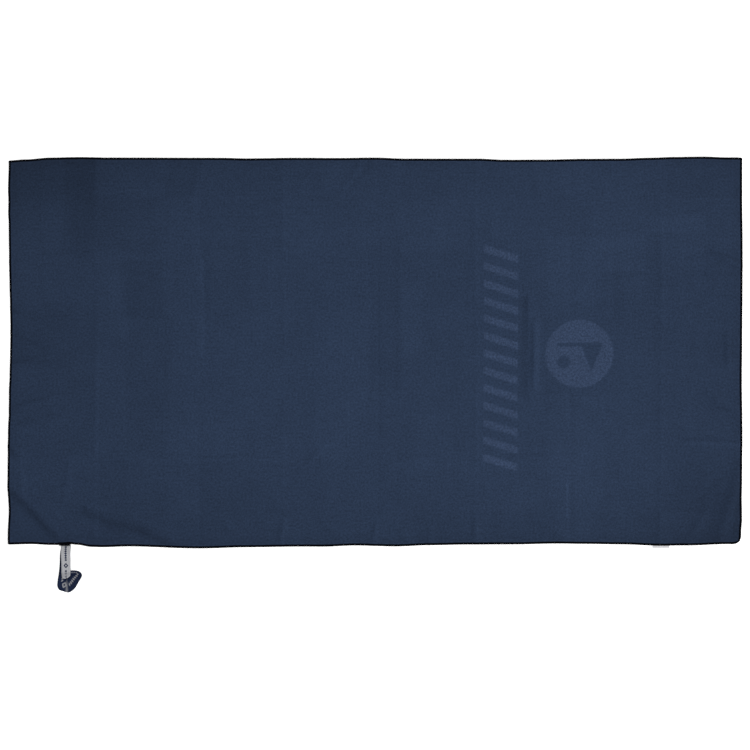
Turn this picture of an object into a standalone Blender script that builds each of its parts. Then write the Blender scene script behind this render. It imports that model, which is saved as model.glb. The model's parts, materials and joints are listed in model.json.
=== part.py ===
"""Golf towel: a thin microfibre sheet with an overlocked edge, a hanging loop and a care label.

Metres, +Z up. The towel lies flat, +X runs along its length and +Y across its width. The hanging loop
lies out from the -Y hem near the -X end, and the care label is tucked under the same hem near the +X end.
The sheet is cut at the three creases that it folds along, so each quarter is a rigid panel.
"""

import math

import bmesh
import bpy
from mathutils import Matrix, Vector

MM = 0.001

# Sheet
TOWEL_LENGTH = 1.100
TOWEL_WIDTH = 0.580
QUARTER = TOWEL_LENGTH / 4
CLOTH_THICKNESS = 0.8 * MM
THREAD = 0.3 * MM
GAP = 0.3 * MM

# Edge stitching, as depths in from the hem line
LOWER_BAND = 3.0 * MM
UPPER_BAND = 2.2 * MM
NEEDLE_NEAR = UPPER_BAND + GAP
NEEDLE_FAR = NEEDLE_NEAR + 0.5 * MM

# Heights of the layers
CLOTH_LOW = THREAD + GAP
CLOTH_HIGH = CLOTH_LOW + CLOTH_THICKNESS
UPPER_LOW = CLOTH_HIGH + GAP
UPPER_HIGH = UPPER_LOW + THREAD
CLOTH_MIDDLE = (CLOTH_LOW + CLOTH_HIGH) / 2

# Fold axes: how far each lies above the ground that the towel rests on
LEFT_FOLD_HEIGHT = 5.6 * MM
CENTRE_FOLD_HEIGHT = 8.5 * MM
RIGHT_FOLD_HEIGHT = 2.6 * MM

# Hanging loop. Every reach is how far out from the hem line something lies.
LOOP_REACH = 71.0 * MM
LOOP_X = -0.4635
TAPE_WIDTH = 15.0 * MM
TAPE_THICKNESS = 0.7 * MM
TAPE_END_REACH = 3.2 * MM
LOOP_AXIS_REACH = 3.5 * MM
LOOP_AXIS_HEIGHT = 4.4 * MM
LOOP_STITCH_WIDTH = 18.0 * MM
LOOP_STITCH_REACH = 2.9 * MM

# Care label
LABEL_X = 0.429
LABEL_WIDTH = 25.0 * MM
LABEL_LENGTH = 45.0 * MM
LABEL_THICKNESS = 0.3 * MM
LABEL_TIP_REACH = 5.4 * MM
LABEL_AXIS_REACH = 5.7 * MM
LABEL_AXIS_HEIGHT = 0.75 * MM
LABEL_ROOT_LOW = 0.9 * MM
LABEL_STITCH_WIDTH = 23.0 * MM
LABEL_STITCH_REACH = 1.8 * MM

# The origin is under the middle of the whole object, loop included.
TOP_HEM = (TOWEL_WIDTH + LOOP_REACH) / 2
BOTTOM_HEM = TOP_HEM - TOWEL_WIDTH
END = TOWEL_LENGTH / 2

# The four quarters, from the loop's end: their name and the X of their two ends
PANELS = (
    ("left_outer", -END, -QUARTER),
    ("left_inner", -QUARTER, 0.0),
    ("right_inner", 0.0, QUARTER),
    ("right_outer", QUARTER, END),
)

# The loop's tape, from its upper end to its lower one, in millimetres: how far the middle of the tape is
# to the right of the loop's root, out from the hem and up, then the way across the tape to its right edge.
LOOP_STATIONS = (
    # upper strand
    (0.0, 3.8, 1.35, 15.0, 0.0, 0.0),
    (0.0, 8.5, 3.3, 15.0, 0.0, 0.0),
    (0.4, 14.0, 5.45, 14.4, 0.0, 0.0),
    (0.8, 26.0, 5.45, 13.8, 0.0, 0.0),
    (0.9, 35.5, 5.45, 13.6, 0.0, 0.0),
    (0.9, 41.0, 5.40, 13.6, -1.0, 0.0),
    # it rolls under itself
    (1.0, 45.2, 4.95, 12.8, -2.6, 0.0),
    (1.2, 47.2, 4.00, 12.0, -3.8, -0.2),
    (2.0, 45.6, 3.05, 9.8, -3.4, -0.4),
    # leaning over, it leaves for the far corner of the tip
    (4.4, 43.2, 3.0, 8.0, 1.3, -1.4),
    (8.0, 41.2, 2.9, 3.1, 5.2, -2.8),
    (11.1, 40.7, 2.9, -0.7, 5.9, -3.8),
    (14.3, 40.8, 3.0, -5.8, 5.3, -4.2),
    (16.9, 41.7, 3.2, -10.8, 2.9, -4.4),
    (18.1, 43.7, 3.3, -13.7, -1.1, -4.4),
    # it turns back with its inner face up
    (16.6, 46.1, 3.3, -14.5, -5.4, -4.2),
    (12.8, 50.0, 3.3, -14.4, -10.0, -4.2),
    (8.9, 55.4, 3.3, -13.0, -15.4, -4.2),
    (6.1, 58.6, 3.4, -8.0, -19.6, -4.2),
    # the creased tip
    (3.0, 60.4, 3.6, -2.4, -21.2, -3.8),
    (-1.0, 60.0, 3.3, 4.8, -18.2, -4.2),
    (-4.4, 58.6, 3.1, 10.2, -16.2, -4.0),
    (-5.4, 56.0, 2.8, 13.8, -9.6, -3.6),
    (-4.9, 51.2, 2.2, 14.2, -5.0, -2.8),
    (-4.1, 45.0, 1.5, 13.9, -2.0, -1.6),
    # lower strand
    (-2.9, 37.5, 0.85, 14.4, 0.0, -0.6),
    (-2.1, 27.0, 0.38, 14.8, 0.0, 0.0),
    (-1.5, 14.0, 0.35, 15.0, 0.0, 0.0),
    (0.0, 3.8, 0.35, 15.0, 0.0, 0.0),
)
STATION_STEPS = 3


def material(name, colour, roughness):
    made = bpy.data.materials.new(name)
    made.use_nodes = True
    shader = made.node_tree.nodes["Principled BSDF"]
    shader.inputs["Base Color"].default_value = (*colour, 1.0)
    shader.inputs["Roughness"].default_value = roughness
    shader.inputs["Metallic"].default_value = 0.0
    return made


def collection(name):
    made = bpy.data.collections.new(name)
    bpy.context.scene.collection.children.link(made)
    return made


def place(name, data, finish, group):
    piece = bpy.data.objects.new(name, data)
    data.materials.append(finish)
    group.objects.link(piece)
    return piece


def box(name, low, high, finish, group):
    """A plain block between two corners, with its origin at its middle."""
    low, high = Vector(low), Vector(high)
    mesh = bpy.data.meshes.new(name)
    shape = bmesh.new()
    bmesh.ops.create_cube(shape, size=1.0)
    bmesh.ops.scale(shape, vec=high - low, verts=shape.verts)
    shape.to_mesh(mesh)
    shape.free()
    piece = place(name, mesh, finish, group)
    piece.location = (low + high) / 2
    return piece


def side_frame(inward, start):
    """Local X runs in from the hem, local Y up, and local Z along the hem."""
    inward, up = Vector(inward), Vector((0, 0, 1))
    turn = Matrix((inward, up, inward.cross(up))).transposed().to_4x4()
    return Matrix.Translation(Vector(start)) @ turn


def angle_strip(name, outline, inward, middle, length, finish, group):
    """A thread band of angle section: a flat outline extruded along the hem and made a mesh."""
    curve = bpy.data.curves.new(name, "CURVE")
    curve.dimensions = "2D"
    curve.fill_mode = "BOTH"
    curve.extrude = length / 2
    spline = curve.splines.new("POLY")
    spline.points.add(len(outline) - 1)
    for point, (across, up) in zip(spline.points, outline):
        point.co = (across, up, 0.0, 1.0)
    spline.use_cyclic_u = True
    outline_piece = bpy.data.objects.new(name + "_outline", curve)
    group.objects.link(outline_piece)
    bpy.context.view_layer.update()
    solid = outline_piece.evaluated_get(bpy.context.evaluated_depsgraph_get())
    mesh = bpy.data.meshes.new_from_object(solid)
    bpy.data.objects.remove(outline_piece)
    shape = bmesh.new()
    shape.from_mesh(mesh)
    bmesh.ops.remove_doubles(shape, verts=shape.verts, dist=0.00001)
    bmesh.ops.recalc_face_normals(shape, faces=shape.faces)
    shape.to_mesh(mesh)
    shape.free()
    piece = place(name, mesh, finish, group)
    piece.matrix_world = side_frame(inward, middle)
    return piece


def hem_runs():
    """Every straight run of edge stitching: name, quarter, inward direction, middle and length."""
    runs = []
    for quarter, low, high in PANELS:
        length = high - low - GAP
        middle = (low + high) / 2
        runs.append(("top_" + quarter, quarter, (0, -1, 0), (middle, TOP_HEM, 0), length))
        runs.append(("bottom_" + quarter, quarter, (0, 1, 0), (middle, BOTTOM_HEM, 0), length))
    length = TOWEL_WIDTH - 2 * (LOWER_BAND + GAP)
    middle = (TOP_HEM + BOTTOM_HEM) / 2
    runs.append(("left_end", "left_outer", (1, 0, 0), (-END, middle, 0), length))
    runs.append(("right_end", "right_outer", (-1, 0, 0), (END, middle, 0), length))
    return runs


def make_threads(finish, group, quarters):
    upper = (
        (0.0, CLOTH_MIDDLE + GAP / 2),
        (THREAD, CLOTH_MIDDLE + GAP / 2),
        (THREAD, UPPER_LOW),
        (UPPER_BAND, UPPER_LOW),
        (UPPER_BAND, UPPER_HIGH),
        (0.0, UPPER_HIGH),
    )
    lower = (
        (0.0, 0.0),
        (LOWER_BAND, 0.0),
        (LOWER_BAND, THREAD),
        (THREAD, THREAD),
        (THREAD, CLOTH_MIDDLE - GAP / 2),
        (0.0, CLOTH_MIDDLE - GAP / 2),
    )
    needle = (
        (NEEDLE_NEAR, UPPER_LOW),
        (NEEDLE_FAR, UPPER_LOW),
        (NEEDLE_FAR, UPPER_HIGH),
        (NEEDLE_NEAR, UPPER_HIGH),
    )
    for run, quarter, inward, middle, length in hem_runs():
        for thread, outline in (
            ("upper_looper_thread", upper),
            ("lower_looper_thread", lower),
            ("needle_thread", needle),
        ):
            name = thread + "_" + run
            piece = angle_strip(name, outline, inward, middle, length, finish, group)
            quarters[quarter].append(piece)


def make_cloth(finish, group, quarters):
    inset = THREAD + GAP
    for quarter, low, high in PANELS:
        start = low + (inset if quarter == "left_outer" else GAP / 2)
        stop = high - (inset if quarter == "right_outer" else GAP / 2)
        corners = (
            (start, BOTTOM_HEM + inset, CLOTH_LOW),
            (stop, TOP_HEM - inset, CLOTH_HIGH),
        )
        quarters[quarter].append(box("cloth_" + quarter, *corners, finish, group))


def smooth_stations():
    """The loop's stations in metres, with points between them on a smooth curve through them all."""
    given = [Vector(s[:3]) for s in LOOP_STATIONS]
    across = [Vector(s[3:]) for s in LOOP_STATIONS]
    found = []
    last = len(given) - 1
    for i in range(last):
        for k in range(STATION_STEPS):
            t = k / STATION_STEPS
            pair = []
            for row in (given, across):
                a, b, c, d = (row[min(max(j, 0), last)] for j in (i - 1, i, i + 1, i + 2))
                point = b * 2 + (c - a) * t + (a * 2 - b * 5 + c * 4 - d) * t**2
                pair.append((point + (b * 3 - a - c * 3 + d) * t**3) / 2)
            found.append(pair)
    found.append([given[last], across[last]])
    root = Vector((LOOP_X, BOTTOM_HEM, 0.0))
    return [(root + turned(p) * MM, turned(w) * MM) for p, w in found]


def turned(v):
    """From (right, out from the hem, up) to world directions."""
    return Vector((v.x, -v.y, v.z))


def make_loop(finish, group):
    """One closed ribbon, lofted through the stations."""
    stations = smooth_stations()
    shape = bmesh.new()
    rings = []
    for i, (middle, across) in enumerate(stations):
        before = stations[max(i - 1, 0)][0]
        after = stations[min(i + 1, len(stations) - 1)][0]
        face = across.cross(after - before).normalized() * TAPE_THICKNESS / 2
        half = across / 2
        corners = (middle - half - face, middle + half - face, middle + half + face, middle - half + face)
        rings.append([shape.verts.new(c) for c in corners])
    for a, b in zip(rings, rings[1:]):
        for k in range(4):
            n = (k + 1) % 4
            shape.faces.new((a[k], a[n], b[n], b[k]))
    shape.faces.new(rings[0][::-1])
    shape.faces.new(rings[-1])
    bmesh.ops.recalc_face_normals(shape, faces=shape.faces)
    bmesh.ops.triangulate(shape, faces=shape.faces)
    mesh = bpy.data.meshes.new("hanging_loop")
    shape.to_mesh(mesh)
    shape.free()
    piece = place("hanging_loop", mesh, finish, group)
    piece.data.shade_smooth()
    piece.data.set_sharp_from_angle(angle=math.radians(40))
    return piece


def make_loop_root(tape, thread, group):
    """The two ends of the tape at the hem, one over the other, and the stitching over them."""
    left, right = LOOP_X - TAPE_WIDTH / 2, LOOP_X + TAPE_WIDTH / 2
    out, near = BOTTOM_HEM - TAPE_END_REACH, BOTTOM_HEM - GAP
    made = []
    low = 0.0
    for name in ("loop_tape_end_lower", "loop_tape_end_upper"):
        high = low + TAPE_THICKNESS
        made.append(box(name, (left, out, low), (right, near, high), tape, group))
        low = high + GAP
    half = LOOP_STITCH_WIDTH / 2
    stitches = box(
        "loop_stitching",
        (LOOP_X - half, BOTTOM_HEM - LOOP_STITCH_REACH, low),
        (LOOP_X + half, near, low + THREAD),
        thread,
        group,
    )
    return made + [stitches]


def make_label(finish, group):
    """The free part of the label, tucked in under the cloth."""
    low = (LABEL_X - LABEL_WIDTH / 2, BOTTOM_HEM - LABEL_TIP_REACH, 0.0)
    high = (LABEL_X + LABEL_WIDTH / 2, low[1] + LABEL_LENGTH, LABEL_THICKNESS)
    return box("care_label", low, high, finish, group)


def make_label_root(label, thread, group):
    """The sewn end of the label at the hem, and the stitching over it."""
    half = LABEL_WIDTH / 2
    near = BOTTOM_HEM - GAP
    top = LABEL_ROOT_LOW + LABEL_THICKNESS
    root = box(
        "care_label_root",
        (LABEL_X - half, BOTTOM_HEM - LABEL_TIP_REACH, LABEL_ROOT_LOW),
        (LABEL_X + half, near, top),
        label,
        group,
    )
    half = LABEL_STITCH_WIDTH / 2
    stitches = box(
        "care_label_stitching",
        (LABEL_X - half, BOTTOM_HEM - LABEL_STITCH_REACH, top + GAP),
        (LABEL_X + half, near, top + GAP + THREAD),
        thread,
        group,
    )
    return [root, stitches]


def cut_label_way(group, cutters, finish):
    """The underside stitching leaves a way for the label, which passes beneath it."""
    half = LABEL_WIDTH / 2 + GAP
    cutter = box(
        "label_way",
        (LABEL_X - half, BOTTOM_HEM - MM, -MM),
        (LABEL_X + half, BOTTOM_HEM + LOWER_BAND + MM, LABEL_THICKNESS + GAP / 2),
        finish,
        cutters,
    )
    cutter.hide_render = True
    cutter.display_type = "WIRE"
    thread = group.objects["lower_looper_thread_bottom_right_outer"]
    cut = thread.modifiers.new("label_way", "BOOLEAN")
    cut.operation = "DIFFERENCE"
    cut.object = cutter


def axis_empty(name, location, group, parent=None):
    empty = bpy.data.objects.new(name, None)
    empty.empty_display_size = 0.02
    group.objects.link(empty)
    empty.location = location
    hang([empty], parent)
    return empty


def hang(pieces, parent):
    """Parents pieces without moving them."""
    if parent is None:
        return
    bpy.context.view_layer.update()
    for piece in pieces:
        piece.parent = parent
        piece.matrix_parent_inverse = parent.matrix_world.inverted()


def main():
    for old in list(bpy.data.objects):
        bpy.data.objects.remove(old)
    group = collection("golf_towel")
    cutters = collection("cutters")
    cloth = material("microfibre_cloth", (0.026, 0.042, 0.080), 0.95)
    thread = material("overlock_thread", (0.003, 0.0035, 0.006), 0.8)
    tape = material("woven_tape", (0.36, 0.36, 0.38), 0.85)
    label = material("label_satin", (0.46, 0.46, 0.47), 0.5)

    quarters = {name: [] for name, _, _ in PANELS}
    make_cloth(cloth, group, quarters)
    make_threads(thread, group, quarters)
    cut_label_way(group, cutters, thread)
    quarters["left_outer"] += make_loop_root(tape, thread, group)
    quarters["right_outer"] += make_label_root(label, thread, group)
    loop = make_loop(tape, group)
    care_label = make_label(label, group)

    left = axis_empty("left_fold_axis", (-QUARTER, 0, LEFT_FOLD_HEIGHT), group)
    centre = axis_empty("centre_fold_axis", (0, 0, CENTRE_FOLD_HEIGHT), group)
    right = axis_empty("right_fold_axis", (QUARTER, 0, RIGHT_FOLD_HEIGHT), group, centre)
    swing = axis_empty(
        "loop_swing_axis", (LOOP_X, BOTTOM_HEM - LOOP_AXIS_REACH, LOOP_AXIS_HEIGHT), group, left
    )
    flap = axis_empty(
        "label_swing_axis", (LABEL_X, BOTTOM_HEM - LABEL_AXIS_REACH, LABEL_AXIS_HEIGHT), group, right
    )
    hang(quarters["left_outer"], left)
    hang(quarters["right_inner"], centre)
    hang(quarters["right_outer"], right)
    hang([loop], swing)
    hang([care_label], flap)


main()
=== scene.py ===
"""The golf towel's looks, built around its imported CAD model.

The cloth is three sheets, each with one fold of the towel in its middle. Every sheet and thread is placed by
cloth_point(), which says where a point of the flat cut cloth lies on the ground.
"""

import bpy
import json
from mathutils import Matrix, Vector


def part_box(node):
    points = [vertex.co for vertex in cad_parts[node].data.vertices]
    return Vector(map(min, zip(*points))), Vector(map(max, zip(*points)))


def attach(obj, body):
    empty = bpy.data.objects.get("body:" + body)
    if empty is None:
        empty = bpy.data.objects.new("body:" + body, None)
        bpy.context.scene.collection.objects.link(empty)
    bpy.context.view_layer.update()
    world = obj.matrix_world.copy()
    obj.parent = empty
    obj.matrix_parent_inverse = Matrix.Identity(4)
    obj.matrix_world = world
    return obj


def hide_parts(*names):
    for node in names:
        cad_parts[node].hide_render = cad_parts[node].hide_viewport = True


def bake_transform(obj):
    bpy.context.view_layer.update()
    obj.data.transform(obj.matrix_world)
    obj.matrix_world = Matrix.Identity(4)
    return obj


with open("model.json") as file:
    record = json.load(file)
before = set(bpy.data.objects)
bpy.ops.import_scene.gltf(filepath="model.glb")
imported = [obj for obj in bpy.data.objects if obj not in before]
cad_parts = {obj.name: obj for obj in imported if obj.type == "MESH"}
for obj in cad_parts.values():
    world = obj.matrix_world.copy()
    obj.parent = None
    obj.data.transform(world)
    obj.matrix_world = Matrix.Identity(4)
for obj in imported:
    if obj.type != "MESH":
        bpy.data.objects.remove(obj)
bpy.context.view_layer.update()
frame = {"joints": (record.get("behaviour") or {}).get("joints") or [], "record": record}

import json
import math

import bpy
import numpy as np

MM = 0.001

# ---------------------------------------------------------------- places read from the frame

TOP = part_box("upper_looper_thread_top_left_outer")[1].y
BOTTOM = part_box("upper_looper_thread_bottom_left_outer")[0].y
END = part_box("upper_looper_thread_right_end")[1].x
CLOTH_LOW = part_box("cloth_left_inner")[0].z
CLOTH_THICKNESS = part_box("cloth_left_inner")[1].z - CLOTH_LOW
JOINTS = {joint["name"]: joint for joint in frame["joints"]}
LEFT_FOLD = JOINTS["left_fold"]["pos_m"]
CENTRE_FOLD = JOINTS["centre_fold"]["pos_m"]
RIGHT_FOLD = JOINTS["right_fold"]["pos_m"]
LOOP_AXIS = JOINTS["loop_swing"]["pos_m"]
LABEL_AXIS = JOINTS["label_swing"]["pos_m"]
LOOP_X = LOOP_AXIS[0]
LABEL_X = LABEL_AXIS[0]
LABEL_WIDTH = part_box("care_label")[1].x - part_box("care_label")[0].x

# The three sheets: name, ends along X, the two bodies and the fold between them
ZONES = (
    ("left", -END, LEFT_FOLD[0] / 2, "left_outer_quarter", "left_inner_quarter", LEFT_FOLD),
    ("middle", LEFT_FOLD[0] / 2, RIGHT_FOLD[0] / 2, "left_inner_quarter", "right_inner_quarter", CENTRE_FOLD),
    ("right", RIGHT_FOLD[0] / 2, END, "right_inner_quarter", "right_outer_quarter", RIGHT_FOLD),
)

# ---------------------------------------------------------------- the lie of the cloth

# How far each hem lies from a straight line: place along the hem in metres, offset in millimetres.
# These numbers were taken from a measured outline, not from points chosen by eye.
TOP_WAVE = (
    (-0.548, -5.4), (-0.525, -3.9), (-0.486, -1.1), (-0.447, -0.4), (-0.400, -1.2), (-0.232, -1.6),
    (-0.194, -2.5), (-0.116, -1.6), (-0.057, -1.9), (0.000, -1.2), (0.045, -2.8), (0.156, -2.9),
    (0.192, -4.5), (0.255, -4.3), (0.314, -3.1), (0.365, -2.9), (0.411, -1.6), (0.450, -0.3),
    (0.489, 0.2), (0.530, -1.0),
)
BOTTOM_WAVE = (
    (-0.548, -1.1), (-0.515, -0.4), (-0.486, -1.7), (-0.470, -1.7), (-0.458, -0.2), (-0.446, -1.4),
    (-0.425, -4.5), (-0.408, -5.0), (-0.369, -3.9), (-0.262, -7.0), (-0.194, -5.2), (-0.116, -4.2),
    (-0.076, -4.3), (-0.030, -2.6), (0.032, -4.0), (0.080, -2.2), (0.138, -1.2), (0.206, -1.0),
    (0.274, 0.3), (0.314, -0.2), (0.372, -1.0), (0.430, -2.9), (0.470, -2.5), (0.528, -0.5),
)
LEFT_WAVE = (
    (-0.240, -0.5), (-0.204, 0.9), (-0.165, -0.8), (-0.100, -0.2), (-0.078, 0.2), (-0.055, 1.3),
    (-0.024, 1.4), (0.000, 2.4), (0.030, 3.0), (0.066, 3.6), (0.102, 3.1), (0.135, 2.2),
    (0.165, 1.6), (0.228, 1.1), (0.246, 0.3), (0.264, 0.6), (0.282, 0.0), (0.318, 0.9),
)
RIGHT_WAVE = (
    (-0.240, -1.2), (-0.215, 0.1), (-0.186, -0.4), (-0.150, 0.0), (-0.100, 0.7), (-0.006, -0.1),
    (0.048, 0.4), (0.138, 0.9), (0.200, 1.0), (0.260, 0.4), (0.318, 0.4),
)

# Corner radii of the laid towel
SHARP_CORNER = 3 * MM
SOFT_CORNER = 13 * MM

# Packing creases: place in metres, height in millimetres (below zero for a valley), half width in millimetres
UPRIGHT_CREASES = (
    (-0.420, 0.7, 5), (-0.264, -0.7, 6), (-0.138, 0.8, 5), (0.003, -0.7, 5),
    (0.150, 0.8, 5), (0.292, -0.8, 6), (0.428, 0.8, 5),
)
LEVEL_CREASES = ((0.171, 0.9, 6), (0.033, -0.8, 6), (-0.124, 0.9, 6), (0.268, -0.5, 8))

# Soft wrinkles: start, end, height in millimetres, half width in millimetres
WRINKLES = (
    ((-0.548, -0.166), (-0.476, -0.240), 3.8, 6),
    ((-0.430, -0.200), (-0.308, -0.244), 3.8, 6),
    ((-0.395, -0.228), (-0.330, -0.250), 2.2, 4),
    ((-0.500, -0.180), (-0.455, -0.165), 1.2, 5),
    ((0.548, -0.137), (0.517, -0.249), 1.7, 9),
    ((0.497, -0.200), (0.470, -0.249), 1.1, 7),
    ((0.505, 0.183), (0.548, 0.162), 2.4, 5),
    ((0.500, 0.150), (0.545, 0.140), 1.4, 5),
    ((0.528, 0.060), (0.530, 0.010), 1.8, 5),
    ((0.500, -0.030), (0.546, -0.060), 1.6, 6),
    ((0.468, -0.098), (0.545, -0.103), 1.8, 4),
    ((-0.548, 0.103), (-0.525, 0.096), 2.4, 5),
    ((-0.548, 0.066), (-0.472, 0.043), 2.4, 5),
    ((-0.545, 0.020), (-0.492, 0.026), 2.2, 4),
    ((-0.548, -0.050), (-0.488, -0.036), 1.8, 5),
    ((-0.548, -0.082), (-0.470, -0.062), 1.6, 5),
    ((-0.548, -0.107), (-0.530, -0.125), 2.4, 5),
    ((-0.530, -0.150), (-0.528, -0.180), 1.6, 4),
    ((-0.458, -0.130), (-0.466, -0.190), 0.9, 4),
    ((0.221, 0.118), (0.222, -0.032), -2.0, 5),
    ((0.239, 0.080), (0.239, -0.016), 2.2, 5),
    ((-0.230, -0.212), (-0.205, -0.238), 1.4, 5),
    ((-0.138, -0.218), (-0.142, -0.252), 1.1, 5),
    ((-0.082, -0.214), (-0.050, -0.246), 1.2, 5),
    ((0.003, -0.214), (0.000, -0.252), 1.2, 5),
    ((0.030, -0.222), (0.052, -0.248), 1.2, 5),
    ((0.150, -0.214), (0.153, -0.252), 1.1, 5),
    ((0.085, -0.226), (0.083, -0.252), 0.8, 5),
    ((0.250, -0.225), (0.290, -0.245), 1.6, 5),
    ((-0.262, 0.322), (-0.270, 0.270), 0.8, 6),
    ((-0.480, 0.292), (-0.350, 0.268), 1.6, 6),
    ((-0.330, 0.262), (-0.190, 0.268), 1.2, 5),
    ((-0.180, 0.290), (-0.070, 0.296), 1.2, 5),
    ((-0.020, 0.322), (-0.045, 0.280), 1.0, 5),
    ((0.070, 0.300), (0.150, 0.286), 1.2, 5),
    ((0.236, 0.322), (0.246, 0.262), 1.0, 8),
    ((-0.110, -0.080), (-0.040, -0.060), 0.9, 4),
    ((-0.100, -0.130), (-0.075, -0.100), 0.9, 4),
)


def smoothstep(t):
    t = np.clip(t, 0, 1)
    return t * t * (3 - 2 * t)


def along_wave(place, wave):
    """The offset at each place, in metres, easing from one given point to the next."""
    at = np.array([p for p, _ in wave])
    value = np.array([v for _, v in wave]) * MM
    i = np.clip(np.searchsorted(at, place) - 1, 0, len(at) - 2)
    return value[i] + (value[i + 1] - value[i]) * smoothstep((place - at[i]) / (at[i + 1] - at[i]))


def ripple(x, y, size, seed):
    """Slow smooth waves, from -1 to 1, about size metres long."""
    turn = np.random.default_rng(seed)
    total = np.zeros_like(x)
    for _ in range(7):
        angle, phase = turn.uniform(0, math.tau, 2)
        scale = math.tau / size * turn.uniform(0.7, 1.4)
        total += np.sin((x * math.cos(angle) + y * math.sin(angle)) * scale + phase)
    return total / 4


def crease_height(x, y):
    """Folded-in creases: sharp lines that fade in and out along their length."""
    height = np.zeros_like(x)
    for seed, (place, tall, wide) in enumerate(UPRIGHT_CREASES):
        away = np.abs(x - place - 1.5 * MM * ripple(y, y * 0, 0.30, 40 + seed)) / (wide * MM)
        fade = 0.65 + 0.35 * ripple(y, x * 0, 0.17, 60 + seed)
        height += tall * fade * np.exp(-np.sqrt(away**2 + 0.03) * 1.3)
    for seed, (place, tall, wide) in enumerate(LEVEL_CREASES):
        away = np.abs(y - place - 1.5 * MM * ripple(x, x * 0, 0.40, 80 + seed)) / (wide * MM)
        fade = 0.45 + 0.45 * ripple(x, y * 0, 0.24, 90 + seed)
        height += tall * fade * np.exp(-np.sqrt(away**2 + 0.03) * 1.3)
    return height


def beside_line(x, y, start, end):
    """How far each place is to the side of a line and past its ends, and its share of the way along."""
    dx, dy = end[0] - start[0], end[1] - start[1]
    long = math.hypot(dx, dy)
    t = ((x - start[0]) * dx + (y - start[1]) * dy) / long**2
    across = ((x - start[0]) * dy - (y - start[1]) * dx) / long
    inside = np.clip(t, 0, 1)
    return across, (t - inside) * long, inside


def wrinkle_height(x, y):
    height = np.zeros_like(x)
    for start, end, tall, wide in WRINKLES:
        across, past, inside = beside_line(x, y, start, end)
        taper = 0.55 + 0.45 * np.sin(np.pi * inside)
        height += tall * taper * np.exp(-((across / (wide * MM)) ** 2) - (past / (wide * MM)) ** 2)
    return height


def lift(x, y):
    """Height of the cloth's underside over where it would lie flat, in metres."""
    broad = 0.9 + 0.5 * ripple(x, y, 0.26, 5) + 0.3 * ripple(x, y, 0.11, 6)
    fine = 0.16 * ripple(x, y, 0.035, 7) + 0.08 * ripple(x, y, 0.018, 8)
    total = broad + fine + crease_height(x, y) + wrinkle_height(x, y)
    return np.maximum(0.5 * (total + np.sqrt(total**2 + 0.05)), 0) * MM


def rounded_corner(x, y, corner_x, corner_y, radius):
    """Pulls the cloth in to a round corner, as the edge stitching does."""
    a = (np.abs(x) - (abs(corner_x) - radius)) / radius
    b = (np.abs(y - corner_y) - radius) / -radius
    near = (np.sign(x) == np.sign(corner_x)) & (a > 0) & (b > 0)
    a, b = np.where(near, a, 0.0), np.where(near, b, 0.0)
    round_a = a * np.sqrt(np.maximum(1 - np.minimum(b, 1.0) ** 2 / 2, 0))
    round_b = b * np.sqrt(np.maximum(1 - np.minimum(a, 1.0) ** 2 / 2, 0))
    x = x + np.sign(corner_x) * np.where(near, round_a - a, 0.0) * radius
    inward = -1 if corner_y > 0 else 1
    return x, y - inward * np.where(near, round_b - b, 0.0) * radius


def cloth_point(x, y, above=0.0):
    """Where a point of the flat cut cloth lies, above metres over the middle of its thickness."""
    x, y = np.asarray(x, float), np.asarray(y, float)
    height = lift(x, y) + CLOTH_LOW + CLOTH_THICKNESS / 2
    sx, sy = x, y
    for corner_x in (-END, END):
        for corner_y in (BOTTOM, TOP):
            soft = corner_x > 0 and corner_y < 0
            radius = SOFT_CORNER if soft else SHARP_CORNER
            sx, sy = rounded_corner(sx, sy, corner_x, corner_y, radius)
    up_share = (y - BOTTOM) / (TOP - BOTTOM)
    right_share = (x + END) / (2 * END)
    new_y = sy + along_wave(x, BOTTOM_WAVE) * (1 - up_share) + along_wave(x, TOP_WAVE) * up_share
    new_x = sx + along_wave(y, LEFT_WAVE) * (1 - right_share) + along_wave(y, RIGHT_WAVE) * right_share
    return np.stack([new_x, new_y, height + above], axis=-1)


# ---------------------------------------------------------------- the cloth's tone, with painted shade and highlights

# Lighter and darker patches, the thin strips among them painted shade in grooves and painted highlights on
# ridges: left, right, bottom, top in metres, change of tone, softness in millimetres
TONE_PATCHES_AND_PAINTED_CREASE_SHADING = (
    (-0.466, -0.417, 0.205, 0.340, -0.05, 10), (-0.560, -0.417, 0.262, 0.340, -0.04, 12),
    (-0.458, -0.424, 0.165, 0.300, -0.05, 26),
    (-0.383, -0.320, 0.086, 0.172, -0.08, 3), (-0.560, -0.450, 0.010, 0.110, -0.04, 9),
    (-0.262, -0.188, 0.108, 0.201, -0.05, 10), (-0.470, -0.330, 0.180, 0.262, -0.04, 6),
    (-0.008, 0.036, -0.024, 0.194, -0.05, 4), (0.028, 0.038, -0.020, 0.215, -0.04, 4),
    (0.038, 0.068, 0.030, 0.140, 0.07, 12), (-0.308, -0.142, -0.114, 0.096, 0.05, 12),
    (-0.090, -0.012, -0.124, 0.096, 0.05, 7), (0.258, 0.405, 0.156, 0.209, 0.08, 3),
    (0.258, 0.338, 0.108, 0.156, 0.05, 3), (0.412, 0.495, 0.213, 0.239, 0.08, 3),
    (0.258, 0.345, -0.190, -0.030, 0.04, 5), (-0.263, -0.258, 0.030, 0.176, 0.12, 1),
    (0.287, 0.290, -0.214, -0.158, 0.18, 1), (0.236, 0.240, -0.020, 0.084, 0.14, 1),
    (0.213, 0.227, -0.032, 0.120, -0.14, 3), (-0.285, -0.140, -0.126, -0.122, 0.07, 1),
    (0.355, 0.372, 0.080, 0.170, -0.05, 4), (-0.400, -0.375, 0.060, 0.150, 0.06, 3),
    (0.060, 0.115, -0.140, -0.060, 0.05, 9), (-0.420, -0.414, -0.240, 0.060, 0.05, 2),
)
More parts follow.
